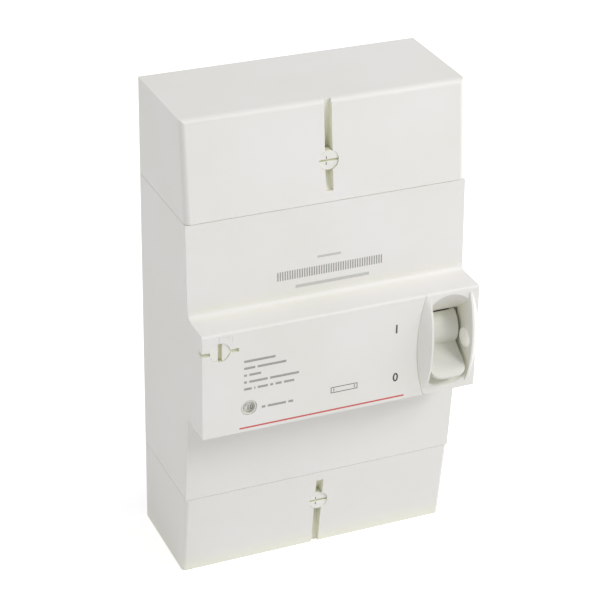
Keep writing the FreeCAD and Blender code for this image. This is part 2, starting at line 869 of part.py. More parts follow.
def pin_place(axis_y, axis_z, radius, back_deg):
    """A crank pin at rest: hanging straight down at half way, turned back from there."""
    angle = math.radians(back_deg)
    return axis_y + radius * math.sin(angle), axis_z - radius * math.cos(angle)


def link_pin_place():
    return pin_place(bar_y, bar_z, bar_crank_r, arm_travel_deg / 2)


def crank_pin_place():
    return pin_place(lever_y, lever_z, crank_r, lever_travel_deg / 2)


def bar_crank():
    """Two webs that carry the link's lower pin."""
    inner = link_thick / 2 + fit_gap
    pieces = []
    for x0 in (link_x - inner - web_thick, link_x + inner):
        web = box(x0, x0 + web_thick, bar_y - web_half, bar_y + web_half,
                  bar_z - bar_crank_r - web_half, bar_z)
        pieces.append(turned_x(web, bar_y, bar_z, arm_travel_deg / 2))
    y, z = link_pin_place()
    return fuse(pieces).cut(rod_x(y, z, crank_pin_r, link_x - hub_w / 2, link_x + hub_w / 2))


def moving_contact(x):
    """Copper arm standing on its hub, with a bevelled tip that meets the fixed pad."""
    closed = math.radians(arm_travel_deg - arm_rest_deg)
    reach = anvil_z - bar_z
    arm = box(x - arm_w / 2, x + arm_w / 2, bar_y - arm_thick / 2, bar_y + arm_thick / 2,
              bar_z + hub_half, bar_z + reach + 2 * tip_r)
    pad_face = strip_front_y - contact_pad_h - fit_gap
    along = reach / math.cos(closed)
    proud = (pad_face - bar_y - along * math.sin(closed)) / math.cos(closed)
    top_y, mid_z = bar_y + proud, bar_z + along
    tip = prism_x([(bar_y, mid_z - tip_r), (top_y - tip_flat, mid_z - tip_r), (top_y, mid_z - tip_flat),
                   (top_y, mid_z + tip_flat), (top_y - tip_flat, mid_z + tip_r), (bar_y, mid_z + tip_r)],
                  x - arm_w / 2, x + arm_w / 2)
    return turned_x(fuse([arm, tip]), bar_y, bar_z, arm_rest_deg)


def blade_spring(x):
    """Leaf spring lying on the front of the arm."""
    front = bar_y - arm_thick / 2
    blade = box(x - blade_w / 2, x + blade_w / 2, front, front - blade_thick,
                bar_z + hub_half, bar_z + hub_half + blade_l)
    return turned_x(blade, bar_y, bar_z, arm_rest_deg)


def link_pin():
    y, z = link_pin_place()
    reach = link_thick / 2 + link_pin_end
    return rod_x(y, z, crank_pin_r, link_x - reach, link_x + reach)


def drive_link():
    """Flat link; its front eye is a short upright slot, because its path is not quite straight."""
    y0, z0 = link_pin_place()
    y1, z1 = crank_pin_place()
    x0, x1 = link_x - link_thick / 2, link_x + link_thick / 2
    drop = (z1 - lever_z + crank_r) - (z0 - bar_z + bar_crank_r)
    strap = prism_x([(y0, z0 - link_half_h), (y1, z1 - link_half_h), (y1, z1 + link_half_h),
                     (y0, z0 + link_half_h)], x0, x1)
    near = square_x(y0, z0, link_eye_r, x0, x1)
    far = fuse([rod_x(y1, z1, link_eye_r, x0, x1), rod_x(y1, z1 - drop, link_eye_r, x0, x1)])
    slot_half_w = crank_pin_r + link_slack
    slot = box(x0 - 1, x1 + 1, y1 - slot_half_w, y1 + slot_half_w,
               min(z1, z1 - drop) - slot_half_w, max(z1, z1 - drop) + slot_half_w)
    hole = rod_x(y0, z0, crank_pin_r + run_gap, x0 - 1, x1 + 1)
    return fuse([strap, far, near]).cut(slot).cut(hole)


# Handle
def drum_point(radius, deg):
    """A point round the drum's axis, counted upwards from the front."""
    turn = math.radians(deg)
    return lever_y - radius * math.cos(turn), lever_z + radius * math.sin(turn)


def drum_pocket():
    """Hollow for the link, open through the back and the top of the drum."""
    far = 2 * drum_r
    outline = [drum_point(far, angle) for angle in
               (drum_open_to, (drum_open_from + drum_open_to) / 2, drum_open_from)]
    step = (drum_open_from + 360 - drum_open_to) / (drum_pocket_sides + 1)
    for index in range(drum_pocket_sides):
        outline.append(drum_point(drum_r - drum_wall, drum_open_from - (index + 1) * step))
    return prism_x(outline, lever_left + drum_end, lever_right - drum_end)


def drum_back_cut():
    """What a flat across the back takes off the end discs."""
    middle = (drum_open_from + drum_open_to) / 2
    slab = box(lever_left - 1, lever_right + 1, lever_y + drum_back, lever_y + 2 * drum_r,
               lever_z - 2 * drum_r, lever_z + 2 * drum_r)
    return turned_x(slab, lever_y, lever_z, 180 - middle)


def handle():
    """Drum with end discs and stub pins, and a finger tab; the back is open for the link."""
    drum = rod_x(lever_y, lever_z, drum_r, lever_left, lever_right)
    drum = drum.cut(drum_pocket()).cut(drum_back_cut())
    stub_left = rod_x(lever_y, lever_z, pivot_r, plate_left_x - fit_gap, lever_left + touch)
    stub_right = rod_x(lever_y, lever_z, pivot_r, lever_right - touch,
                       plate_right_x + plate_thick + fit_gap)
    body = fuse([drum, stub_left, stub_right, finger_tab()])
    y, z = crank_pin_place()
    seat = drum_end - crank_pin_seat
    return body.cut(rod_x(y, z, crank_pin_r, lever_left + seat, lever_right - seat))


def finger_tab():
    """Tab that thins towards its crowned tip; its upper face lies on a radius of the drum."""
    root_y, tip_y = lever_y - drum_r + drum_wall / 2, lever_y - tab_reach
    left, right, low = lever_left, lever_right, lever_z - tab_thick
    corners = [Vector(left, root_y, low), Vector(left, tip_y + tab_crown, low),
               Vector(right, tip_y + tab_crown, low), Vector(right, root_y, low)]
    crown = Part.Arc(corners[1], Vector((left + right) / 2, tip_y, low), corners[2]).toShape()
    outline = Part.Wire([Part.makeLine(corners[0], corners[1]), crown,
                         Part.makeLine(corners[2], corners[3]), Part.makeLine(corners[3], corners[0])])
    blank = Part.Face(outline).extrude(Vector(0, 0, tab_thick))
    upright = outer_edges(blank, lambda p: abs(p.y - tip_y - tab_crown) < touch
                          and min(abs(p.x - left), abs(p.x - right)) < touch)
    blank = blank.makeFillet(tab_corner_r, upright)
    beyond = tip_y - 1
    taper = prism_x([(root_y, low), (beyond, low), (beyond, lever_z - tab_tip_thick)], left, right)
    return turned_x(blank.cut(taper), lever_y, lever_z, -tab_face_deg)


def crank_pin():
    y, z = crank_pin_place()
    seat = drum_end - crank_pin_seat
    return rod_x(y, z, crank_pin_r, lever_left + seat, lever_right - seat)


# Mechanism frame
def frame_plate(x):
    """Steel side plate: a bearing for the handle and the trip bar, on a leg to the base."""
    front = slot_y + fit_gap
    foot_y = -base_thick + leg_sink
    foot_z = lever_z - plate_foot_drop
    shoulder_y, top_z = trip_y + plate_shoulder, latch_z + plate_top_room
    chin_z = trip_z - plate_chin_drop
    outline = [
        (foot_y, foot_z), (foot_y, foot_z + plate_foot_h), (shoulder_y, trip_z), (shoulder_y, top_z),
        (lever_y + plate_brow_in, top_z), (front, lever_z + plate_front_up),
        (front, lever_z - plate_front_down), (trip_y - plate_chin_front, chin_z),
        (trip_y + plate_chin_back, chin_z), (-base_thick - plate_heel, foot_z),
    ]
    plate = prism_x(outline, x, x + plate_thick)
    pivot_hole = rod_x(lever_y, lever_z, pivot_r + run_gap, x - 1, x + plate_thick + 1)
    trip_hole = square_x(trip_y, trip_z, trip_r + run_gap, x - 1, x + plate_thick + 1)
    return plate.cut(pivot_hole).cut(trip_hole)


def frame_spacers():
    """Bars riveted between the two side plates: a round one for the latch and two flat ones."""
    x0, x1 = plate_left_x + plate_thick, plate_right_x
    bars = [rod_x(trip_y, latch_z, spacer_r, x0, x1)]
    places = [
        (-base_thick - spacer_back_in, lever_z - spacer_back_drop),
        (trip_y + spacer_front_in, lever_z - spacer_front_drop),
    ]
    for y, z in places:
        bars.append(box(x0, x1, y - spacer_half, y + spacer_half, z - spacer_r, z + spacer_r))
    return bars


# Trip gear
def trip_bar():
    pieces = [rod_x(trip_y, trip_z, trip_r, trip_left, plate_right_x + plate_thick)]
    for index in range(poles - 1):
        x = pole_x(index)
        pieces.append(box(x - finger_w / 2, x + finger_w / 2, trip_y - finger_thick / 2,
                          trip_y + finger_thick / 2, trip_z - finger_drop, trip_z))
    catch_x = link_x + link_thick / 2 + catch_gap
    pieces.append(box(catch_x, catch_x + catch_w, trip_y - catch_thick / 2, trip_y + catch_thick / 2,
                      trip_z, trip_z + catch_h))
    return fuse(pieces)


def trip_latch():
    """Lever on the top spacer whose toe rests over the trip bar's catch."""
    x0 = link_x + link_thick / 2 + latch_gap
    x1 = x0 + latch_thick
    toe = trip_z + catch_h + toe_gap
    eye_half = spacer_r + latch_half
    arm = box(x0, x1, trip_y - latch_half, trip_y + latch_half, toe, latch_z)
    eye = square_x(trip_y, latch_z, eye_half, x0, x1)
    return fuse([arm, eye]).cut(square_x(trip_y, latch_z, spacer_r + run_gap, x0 - 1, x1 + 1))


def magnet_yoke(x):
    """U-shaped iron round the bimetal; the armature's axle turns in square holes in its two ears."""
    outer = yoke_w / 2
    front = armature_y + yoke_front
    pieces = [box(x - outer, x + outer, yoke_back_y, yoke_back_y - yoke_wall, yoke_low, yoke_high)]
    for side in (-1, 1):
        x0, x1 = x + side * outer, x + side * (outer - yoke_wall)
        pieces.append(box(x0, x1, yoke_back_y - yoke_wall, front, yoke_low, yoke_high))
        pieces.append(box(x0, x1, front + ear_root, armature_y - ear_reach,
                          yoke_high - touch, armature_z + ear_top))
    hole = axle_r + run_gap
    bearing = square_x(armature_y, armature_z, hole, x - outer - 1, x + outer + 1)
    return fuse(pieces).cut(bearing)


def armature(x):
    """Iron flap with a half-round rib across its back, which rocks in the yoke's ears."""
    plate = box(x - armature_w / 2, x + armature_w / 2, armature_y - armature_thick / 2,
                armature_y + armature_thick / 2, yoke_low + armature_foot_up, trip_z - armature_top_drop)
    rib = rod_x(armature_y, armature_z, axle_r, x - yoke_w / 2, x + yoke_w / 2)
    back_side = box(x - yoke_w, x + yoke_w, armature_y, armature_y + 2 * axle_r,
                    armature_z - axle_r, armature_z + axle_r)
    return fuse([plate, rib.common(back_side)])


# Rating window and dial
def rating_window():
    top = -nose_depth + window_sink
    return rod_y(dial_x, dial_z, window_r, top, top + window_thick)


def rating_dial():
    face = -nose_depth + wall + run_gap
    disc = rod_y(dial_x, dial_z, dial_r, face, face + dial_thick - 2 * run_gap)
    shaft = block(dial_x, dial_z, dial_shaft_half, dial_shaft_half, face + 1,
                  face + dial_thick + dial_shaft_l)
    return fuse([disc, shaft])


def dial_retainer():
    """Square spring plate behind the dial, sitting on the walls round it."""
    face = -nose_depth + wall + dial_thick
    reach = dial_r + dial_tube_wall / 2
    hole = dial_shaft_half * math.sqrt(2) + run_gap
    plate = block(dial_x, dial_z, reach, reach, face, face + retainer_thick)
    return plate.cut(block(dial_x, dial_z, hole, hole, face - 1, face + retainer_thick + 1))


os.makedirs("parts", exist_ok=True)

save("base", base())
save("middle_cover", middle_cover())
save("upper_terminal_cover", upper_terminal_cover())
save("lower_terminal_cover", lower_terminal_cover())
save("upper_seal_screw", seal_screw(seal_x, seal_high_z, upper_front(seal_high_z), False,
                                    seal_slot_w, seal_slot_d))
save("lower_seal_screw", seal_screw(seal_x, seal_low_z, lower_front(seal_low_z), False,
                                    seal_slot_w, seal_slot_d))
save("nose_seal_screw", seal_screw(nose_seal_x, nose_seal_z, -nose_depth, True,
                                   nose_slot_w, nose_slot_d))
save("rating_window", rating_window())
save("rating_dial", rating_dial())
save("dial_retainer", dial_retainer())
save("handle", handle())
save("crank_pin", crank_pin())
save("drive_link", drive_link())
save("link_pin", link_pin())
save("frame_plate_left", frame_plate(plate_left_x))
save("frame_plate_right", frame_plate(plate_right_x))
save("frame_spacers", Part.makeCompound(frame_spacers()))
save("contact_bar", contact_bar())
save("trip_bar", trip_bar())
save("trip_latch", trip_latch())

centres = [pole_x(index) for index in range(poles)]
for number, x in enumerate(centres, start=1):
    save("line_strip_%d" % number, line_strip(x))
    save("moving_contact_%d" % number, moving_contact(x))
    save("arc_chute_holder_%d" % number, arc_holder(x))
    save("line_terminal_%d" % number, terminal(x, line_terminal_z))
    save("load_terminal_%d" % number, terminal(x, load_terminal_z))
for number, x in enumerate(centres[:-1], start=1):
    save("load_strip_%d" % number, load_strip(x))
    save("bimetal_%d" % number, bimetal(x))
    save("magnet_yoke_%d" % number, magnet_yoke(x))
    save("armature_%d" % number, armature(x))
save("neutral_strip", neutral_strip(centres[-1]))
save("arc_plates", Part.makeCompound([plate for x in centres for plate in arc_stack(x)]))
save("blade_springs", Part.makeCompound([blade_spring(x) for x in centres]))
save("line_terminal_screws", Part.makeCompound([terminal_screw(x, line_terminal_z) for x in centres]))
save("load_terminal_screws", Part.makeCompound([terminal_screw(x, load_terminal_z) for x in centres]))
braids = [braid(x, bimetal_y + run_gap, bimetal_top_z - pad_margin) for x in centres[:-1]]
braids.append(braid(centres[-1], strip_front_y - braid_thick, trip_z - braid_drop))
save("braids", Part.makeCompound(braids))
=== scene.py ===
import json
import math

import bmesh
import bpy
from mathutils import Matrix, Vector
from mathutils.bvhtree import BVHTree


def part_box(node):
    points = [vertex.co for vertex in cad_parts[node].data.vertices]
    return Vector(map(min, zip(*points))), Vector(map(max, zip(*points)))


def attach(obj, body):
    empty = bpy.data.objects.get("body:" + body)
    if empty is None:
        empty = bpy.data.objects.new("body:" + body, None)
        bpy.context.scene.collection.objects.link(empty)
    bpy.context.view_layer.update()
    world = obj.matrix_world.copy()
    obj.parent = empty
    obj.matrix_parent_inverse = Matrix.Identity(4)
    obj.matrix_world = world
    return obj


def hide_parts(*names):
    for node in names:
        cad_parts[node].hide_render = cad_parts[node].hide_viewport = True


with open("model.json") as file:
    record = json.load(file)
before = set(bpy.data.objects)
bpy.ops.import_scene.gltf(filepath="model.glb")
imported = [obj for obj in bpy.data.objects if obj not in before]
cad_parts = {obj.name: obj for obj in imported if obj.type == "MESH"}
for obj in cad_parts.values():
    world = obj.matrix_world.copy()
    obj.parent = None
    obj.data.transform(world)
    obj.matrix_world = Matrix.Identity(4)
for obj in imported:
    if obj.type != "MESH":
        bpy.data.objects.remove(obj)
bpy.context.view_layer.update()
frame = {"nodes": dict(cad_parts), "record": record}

MM = 0.001
LIFT = 108.75


def at(z):
    """A height in millimetres over the lower end, as a height in the frame."""
    return z - LIFT


# The part's own places, read off the frame's nodes
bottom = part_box("lower_terminal_cover")[0][2]
seam_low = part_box("lower_terminal_cover")[1][2]
dial_low, dial_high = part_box("rating_dial")
dial_centre = Vector([(low + high) / 2 for low, high in zip(dial_low, dial_high)])

# Faces of the nose and of the window, and the turning line of the handle, in millimetres
NOSE_Y = -73.4
WINDOW_X, WINDOW_Y, WINDOW_Z = -42.3, -73.1, at(94.8)
LEVER_Y, LEVER_Z = -58.2, -0.35

# Camera: place, aim, a little roll, and lens in millimetres
CAMERA_AT = Vector((-322.1, -765.1, 437.9)) * MM
CAMERA_AIM = Vector((0.7, -25.6, 4.5)) * MM
CAMERA_ROLL = math.radians(1.1)
CAMERA_LENS = 125.7
CAMERA_SENSOR = 36.0

# Noise of the finishes: scale per metre, detail and, where it isn't the usual, roughness
CLOUD = (22.0, 3.0)
PATCH = (90.0, 2.0)
GRAIN = (2600.0, 4.0, 0.6)
STREAK = (900.0, 4.0)
RIPPLE = (300.0, 2.0)
BLOTCH = (1500.0, 3.0)

# Height of the grain and of the brushed streaks
GRAIN_HEIGHT = 0.04 * MM
GRAIN_SHARE = 0.2
STREAK_HEIGHT = 0.03 * MM
STREAK_SHARE = 0.15

# Colour of a metal in its streaks, as a share of its own
STREAK_SHADE = 0.86

# Places along the noise of the darker and the paler colour
NEAR_STOPS = (0.35, 0.65)
WIDE_STOPS = (0.3, 0.7)

# Roughness, from and to
PLASTIC_ROUGH = (0.4, 0.5)
METAL_ROUGH = (0.28, 0.42)
WINDOW_ROUGH = (0.1, 0.18)
INK_ROUGH = (0.5, 0.6)

# Gloss of moulded plastic
PLASTIC_GLOSS = 0.4

# The window's plastic: its two colours, and the share of it that isn't clear
WINDOW_COLOURS = ((244, 245, 238), (248, 249, 243))
WINDOW_MILK = 0.14

# Painted warm shade in the hollows of the pale plastic, standing in for the light bounced there:
# drawn in within this reach, between these shares of open sky
PAINTED_SHADE_REACH = 14.0 * MM
PAINTED_SHADE_RANGE = (0.25, 0.8)
PAINTED_SHADE_SAMPLES = 8


def linear(screen_colour):
    """Screen colour (0 to 255) as the linear colour of a shader, by the sRGB curve."""
    def channel(value):
        value /= 255
        return value / 12.92 if value <= 0.04045 else ((value + 0.055) / 1.055) ** 2.4
    return tuple(channel(value) for value in screen_colour)


# Materials
def new_material(name):
    material = bpy.data.materials.new(name)
    material.use_nodes = True
    nodes = material.node_tree.nodes
    return material, nodes, material.node_tree.links, nodes["Principled BSDF"]


def add_noise(nodes, links, scale, detail, roughness=0.5, stretch=None):
    """Noise that follows the object's own place, in metres; gives its strength."""
    place = nodes.new("ShaderNodeTexCoord").outputs["Object"]
    if stretch:
        mapping = nodes.new("ShaderNodeMapping")
        mapping.inputs["Scale"].default_value = stretch
        links.new(place, mapping.inputs["Vector"])
        place = mapping.outputs["Vector"]
    noise = nodes.new("ShaderNodeTexNoise")
    noise.inputs["Scale"].default_value = scale
    noise.inputs["Detail"].default_value = detail
    noise.inputs["Roughness"].default_value = roughness
    links.new(place, noise.inputs["Vector"])
    return noise.outputs["Fac"]


def add_ramp(nodes, links, source, places, colours):
    """Two colours, at their places along the source."""
    ramp = nodes.new("ShaderNodeValToRGB")
    for element, place, colour in zip(ramp.color_ramp.elements, places, colours):
        element.position = place
        element.color = (*colour, 1.0)
    links.new(source, ramp.inputs["Fac"])
    return ramp.outputs["Color"]


def add_bump(nodes, links, shader, source, strength, distance):
    bump = nodes.new("ShaderNodeBump")
    bump.inputs["Strength"].default_value = strength
    bump.inputs["Distance"].default_value = distance
    links.new(source, bump.inputs["Height"])
    links.new(bump.outputs["Normal"], shader.inputs["Normal"])


def add_sheen(nodes, links, shader, source, rough):
    """Roughness that wanders between two values."""
    sheen = nodes.new("ShaderNodeMapRange")
    sheen.inputs["To Min"].default_value, sheen.inputs["To Max"].default_value = rough
    links.new(source, sheen.inputs["Value"])
    links.new(sheen.outputs["Result"], shader.inputs["Roughness"])


def add_painted_hollow_shade(nodes, links, colour, painted_hollow_shade):
    """The colour, drawn towards another one in hollows: painted warm shade for the light bounced
    there.
    """
    depth = nodes.new("ShaderNodeAmbientOcclusion")
    depth.samples = PAINTED_SHADE_SAMPLES
    depth.inputs["Distance"].default_value = PAINTED_SHADE_REACH
    reach = nodes.new("ShaderNodeMapRange")
    reach.inputs["From Min"].default_value, reach.inputs["From Max"].default_value = PAINTED_SHADE_RANGE
    links.new(depth.outputs["AO"], reach.inputs["Value"])
    shade = nodes.new("ShaderNodeMix")
    shade.data_type = "RGBA"
    shade.inputs["A"].default_value = (*painted_hollow_shade, 1.0)
    links.new(reach.outputs["Result"], shade.inputs["Factor"])
    links.new(colour, shade.inputs["B"])
    return shade.outputs["Result"]


def plastic(name, low, high, rough=PLASTIC_ROUGH, painted_hollow_shade=None):
    """Moulded plastic: faint cloudy colour, with painted warm shade in its hollows, and a fine
    grain.
    """
    material, nodes, links, shader = new_material(name)
    cloud = add_noise(nodes, links, *CLOUD)
    colour = add_ramp(nodes, links, cloud, NEAR_STOPS, (linear(low), linear(high)))
    if painted_hollow_shade:
        colour = add_painted_hollow_shade(nodes, links, colour, linear(painted_hollow_shade))
    links.new(colour, shader.inputs["Base Color"])
    add_sheen(nodes, links, shader, add_noise(nodes, links, *PATCH), rough)
    add_bump(nodes, links, shader, add_noise(nodes, links, *GRAIN), GRAIN_SHARE, GRAIN_HEIGHT)
    shader.inputs["Specular IOR Level"].default_value = PLASTIC_GLOSS
    return material


def metal(name, colour, stretch):
    """Bare or plated metal with brushed streaks along one direction."""
    material, nodes, links, shader = new_material(name)
    streaks = add_noise(nodes, links, *STREAK, stretch=stretch)
    shade = tuple(channel * STREAK_SHADE for channel in colour)
    links.new(add_ramp(nodes, links, streaks, WIDE_STOPS, (shade, colour)),
              shader.inputs["Base Color"])
    add_sheen(nodes, links, shader, streaks, METAL_ROUGH)
    shader.inputs["Metallic"].default_value = 1.0
    add_bump(nodes, links, shader, streaks, STREAK_SHARE, STREAK_HEIGHT)
    return material


def window_glass():
    """Clear moulded plastic, a little milky, that lets the dial show through."""
    material, nodes, links, shader = new_material("clear_window")
    waves = add_noise(nodes, links, *RIPPLE)
    links.new(add_ramp(nodes, links, waves, WIDE_STOPS, map(linear, WINDOW_COLOURS)),
              shader.inputs["Base Color"])
    add_sheen(nodes, links, shader, waves, WINDOW_ROUGH)
    shader.inputs["Alpha"].default_value = WINDOW_MILK
    return material


def ink(name, low, high):
    """Pad-printed ink, a little thinner here and there."""
    material, nodes, links, shader = new_material(name)
    patches = add_noise(nodes, links, *BLOTCH)
    links.new(add_ramp(nodes, links, patches, NEAR_STOPS, (linear(low), linear(high))),
              shader.inputs["Base Color"])
    add_sheen(nodes, links, shader, patches, INK_ROUGH)
    return material


materials = {
    # The last colour given to a pale plastic is the painted warm shade of its hollows
    "cover_plastic": plastic("cover_plastic", (226, 225, 220), (230, 228, 226),
                             painted_hollow_shade=(238, 238, 220)),
    "base_plastic": plastic("base_plastic", (211, 210, 204), (217, 216, 211), rough=(0.5, 0.6)),
    "handle_plastic": plastic("handle_plastic", (211, 211, 204), (216, 216, 210),
                              painted_hollow_shade=(214, 214, 200)),
    "screw_plastic": plastic("screw_plastic", (228, 227, 221), (232, 231, 226),
                             painted_hollow_shade=(236, 236, 214)),
    "inner_plastic": plastic("inner_plastic", (48, 48, 50), (56, 56, 58), rough=(0.5, 0.62)),
    # The boss's plastic is the cover's, painted lighter: painted light where the dome catches the
    # lamps
    "boss_plastic_painted_light": plastic("boss_plastic_painted_light", (253, 253, 246), (254, 254, 249), rough=(0.3, 0.38)),
    "window_rim": plastic("window_rim", (208, 208, 201), (214, 214, 207), rough=(0.15, 0.25)),
    "dial_plastic": plastic("dial_plastic", (246, 247, 240), (250, 251, 245)),
    "clear_window": window_glass(),
    "fibre": plastic("fibre", (160, 76, 56), (176, 92, 68), rough=(0.6, 0.75)),
    "steel": metal("steel", (0.62, 0.63, 0.64), (1.0, 0.2, 1.0)),
    "copper": metal("copper", (0.83, 0.47, 0.31), (1.0, 1.0, 0.15)),
    "terminal_brass": metal("terminal_brass", (0.80, 0.68, 0.40), (0.2, 1.0, 1.0)),
    "bimetal": metal("bimetal", (0.66, 0.62, 0.56), (1.0, 1.0, 0.15)),
}
ink_dark = ink("ink_dark", (56, 56, 60), (72, 72, 76))
ink_grey = ink("ink_grey", (150, 150, 148), (164, 164, 160))
ink_pale = ink("ink_pale", (190, 190, 186), (200, 200, 195))
ink_red = ink("ink_red", (198, 74, 70), (206, 88, 82))

slot_of = {part["node"]: part["material_slot"] for part in frame["record"]["subparts"]}
for node_name, node in frame["nodes"].items():
    for held in node.material_slots:
        held.material = materials[slot_of[node_name]]

# Finishes of the scene's own, and the record's slot that each belongs to
SLOT_OF_EXTRA = {"boss_plastic_painted_light": "cover_plastic", "window_rim": "clear_window"}


def body_of(node_name):
    bodies = frame["record"]["behaviour"]["bodies"]
    return next(body for body, nodes in bodies.items() if node_name in nodes)


def link_new(name, data):
    """A new object in the scene."""
    made = bpy.data.objects.new(name, data)
    bpy.context.collection.objects.link(made)
    return made


def add_object(name, shape, material):
    """Turn a bmesh into an object of the scene."""
    mesh = bpy.data.meshes.new(name)
    shape.to_mesh(mesh)
    shape.free()
    mesh.materials.clear()
    mesh.materials.append(material)
    return link_new(name, mesh)


def node_shape(node_name):
    shape = bmesh.new()
    shape.from_mesh(frame["nodes"][node_name].data)
    return shape


# Moulded pieces: the frame's own faces, with every sharp edge rolled over, and less at the
# tight lower seam
MOULD_BEVEL = 0.35 * MM
FINE_BEVEL = 0.16 * MM
BASE_BEVEL = 0.3 * MM
BEVEL_STEPS = 2
BEVEL_FROM = math.radians(28)
TIGHT_SHARE = 0.3
TIGHT_REACH = 0.4 * MM
SAME_POINT = 0.002 * MM
SAME_PLANE = math.radians(0.6)
FLAT_WEIGHT = 100


def soften(node_name, width):
    """A node's surface with its edges rolled over, in place of the node."""
    shape = node_shape(node_name)
    bmesh.ops.remove_doubles(shape, verts=shape.verts, dist=SAME_POINT)
    bmesh.ops.dissolve_limit(shape, angle_limit=SAME_PLANE, verts=shape.verts,
                             edges=shape.edges, delimit={"NORMAL"})
    weight = shape.edges.layers.float.new("bevel_weight_edge")
    for edge in shape.edges:
        if len(edge.link_faces) == 2 and edge.calc_face_angle(0.0) > BEVEL_FROM:
            tight = all(abs(corner.co.z - seam_low) < TIGHT_REACH for corner in edge.verts)
            edge[weight] = TIGHT_SHARE if tight else 1.0
    piece = add_object(node_name + "_moulding", shape, materials[slot_of[node_name]])
    piece.data.shade_smooth()
    bevel = piece.modifiers.new("rolled_edges", "BEVEL")
    bevel.width = width
    bevel.segments = BEVEL_STEPS
    bevel.limit_method = "WEIGHT"
    bevel.use_clamp_overlap = True
    flatten = piece.modifiers.new("flat_faces", "WEIGHTED_NORMAL")
    flatten.mode = "FACE_AREA"
    flatten.weight = FLAT_WEIGHT
    flatten.keep_sharp = False
    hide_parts(node_name)
    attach(piece, body_of(node_name))


for name in ("middle_cover", "upper_terminal_cover", "lower_terminal_cover"):
    soften(name, MOULD_BEVEL)
soften("base", BASE_BEVEL)
for name in ("handle", "upper_seal_screw", "lower_seal_screw", "nose_seal_screw",
             "rating_window", "rating_dial"):
    soften(name, FINE_BEVEL)


def join_rings(rings, closed=False):
    """Faces between rings of as many points, in millimetres, with a cap at each end."""
    shape = bmesh.new()
    corners = [[shape.verts.new(Vector(place) * MM) for place in ring] for ring in rings]
    for here, there in zip(corners, corners[1:] + (corners[:1] if closed else [])):
        for i in range(len(here)):
            j = (i + 1) % len(here)
            shape.faces.new((here[i], here[j], there[j], there[i]))
    if not closed:
        shape.faces.new(corners[0])
        shape.faces.new(reversed(corners[-1]))
    return shape


def add_piece(name, shape, material_name, body, split_from=None):
    """A smooth piece of the scene's own on a body, split at edges sharper than an angle."""
    bmesh.ops.recalc_face_normals(shape, faces=shape.faces)
    piece = add_object(name, shape, materials[material_name])
    piece.data.shade_smooth()
    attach(piece, body)
    SLOT_OF_EXTRA.get(material_name, material_name)
    if split_from:
        piece.modifiers.new("sharp_rims", "EDGE_SPLIT").split_angle = math.radians(split_from)


# Round skins that close the handle's drum between its discs, up to the link's opening
DRUM_R = 9.57
SKIN_LEFT, SKIN_RIGHT = 43.3, 54.9
SKIN_THICK = 1.9
SKIN_STEPS = 16


def add_drum_skin(name, from_deg, to_deg):
    inner_r = DRUM_R - SKIN_THICK
    rings = []
    for step in range(SKIN_STEPS + 1):
        turn = math.radians(from_deg + (to_deg - from_deg) * step / SKIN_STEPS)
        rings.append([(x, LEVER_Y - reach * math.cos(turn), LEVER_Z + reach * math.sin(turn))
                      for x, reach in ((SKIN_LEFT, DRUM_R), (SKIN_RIGHT, DRUM_R),
                                       (SKIN_RIGHT, inner_r), (SKIN_LEFT, inner_r))])
    add_piece(name, join_rings(rings), "handle_plastic", body_of("handle"), split_from=40)


add_drum_skin("drum_skin_top", 32, 62)
add_drum_skin("drum_skin_bottom", 216, 262)

# Left cheek: its slope rises from a bowed foot to a bowed ridge
FOOT_X, FOOT_R = 116.77, 81.9
FOOT_SINK = 0.05
RIDGE_X, RIDGE_Y, RIDGE_R = 39.4, -23.1, 54.9
RIDGE_OVER, RIDGE_SINK = 0.12, 0.08
RIDGE_DEEP = 0.4
SLOPE_SHARES = (0.5, 0.93)
CHEEK_REACH = 21.9
CHEEK_STEPS = 48


def add_cheek_slope():
    rings = []
    for step in range(CHEEK_STEPS + 1):
        up = CHEEK_REACH * (2 * step / CHEEK_STEPS - 1)
        z = LEVER_Z + up
        foot = Vector((FOOT_X - math.sqrt(FOOT_R ** 2 - up ** 2), NOSE_Y, z))
        top = Vector((RIDGE_X, RIDGE_Y - math.sqrt(RIDGE_R ** 2 - up ** 2), z))
        rings.append([foot + Vector((0, FOOT_SINK, 0)),
                      *(foot.lerp(top, share) for share in SLOPE_SHARES),
                      top + Vector((RIDGE_OVER, RIDGE_SINK, 0)),
                      Vector((RIDGE_X + RIDGE_OVER, NOSE_Y + RIDGE_DEEP, z))])
    add_piece("left_cheek_slope", join_rings(rings), "cover_plastic", "casing", split_from=50)


add_cheek_slope()

# Hollow round between the shelf over the nose and the front above it, sunk a little into both
SHELF_Z = at(132.2)
SHELF_BACK_Y = -57.0
COVE_R = 2.6
COVE_STEPS = 10
COVE_HALF = 62.9
COVE_BACK, COVE_SINK, COVE_CLEAR = 0.2, 0.1, 0.01


def add_shelf_cove():
    back_y, under_z = SHELF_BACK_Y + COVE_BACK, SHELF_Z - COVE_SINK
    profile = [(back_y, under_z), (back_y, SHELF_Z + COVE_R)]
    for step in range(COVE_STEPS + 1):
        turn = math.radians(90) * step / COVE_STEPS
        profile.append((SHELF_BACK_Y - COVE_R * (1 - math.cos(turn)) - COVE_CLEAR,
                        SHELF_Z + COVE_R * (1 - math.sin(turn)) + COVE_CLEAR))
    profile.append((SHELF_BACK_Y - COVE_R, under_z))
    rings = [[(x, y, z) for y, z in profile] for x in (-COVE_HALF, COVE_HALF)]
    add_piece("shelf_cove", join_rings(rings), "cover_plastic", "casing", split_from=40)


add_shelf_cove()

# Rounded boss on the right wall of the recess, in a lighter copy of the cover's plastic: painted
# light on the dome
BOSS_X, BOSS_Y, BOSS_Z = 58.6, -71.1, -1.85
BOSS_R, BOSS_RISE, BOSS_SINK = 4.5, 1.33, 0.3
BOSS_ROWS, BOSS_STEPS = 10, 40
BOSS_FLANK = 0.8
BOSS_TOP_ROW = 0.35


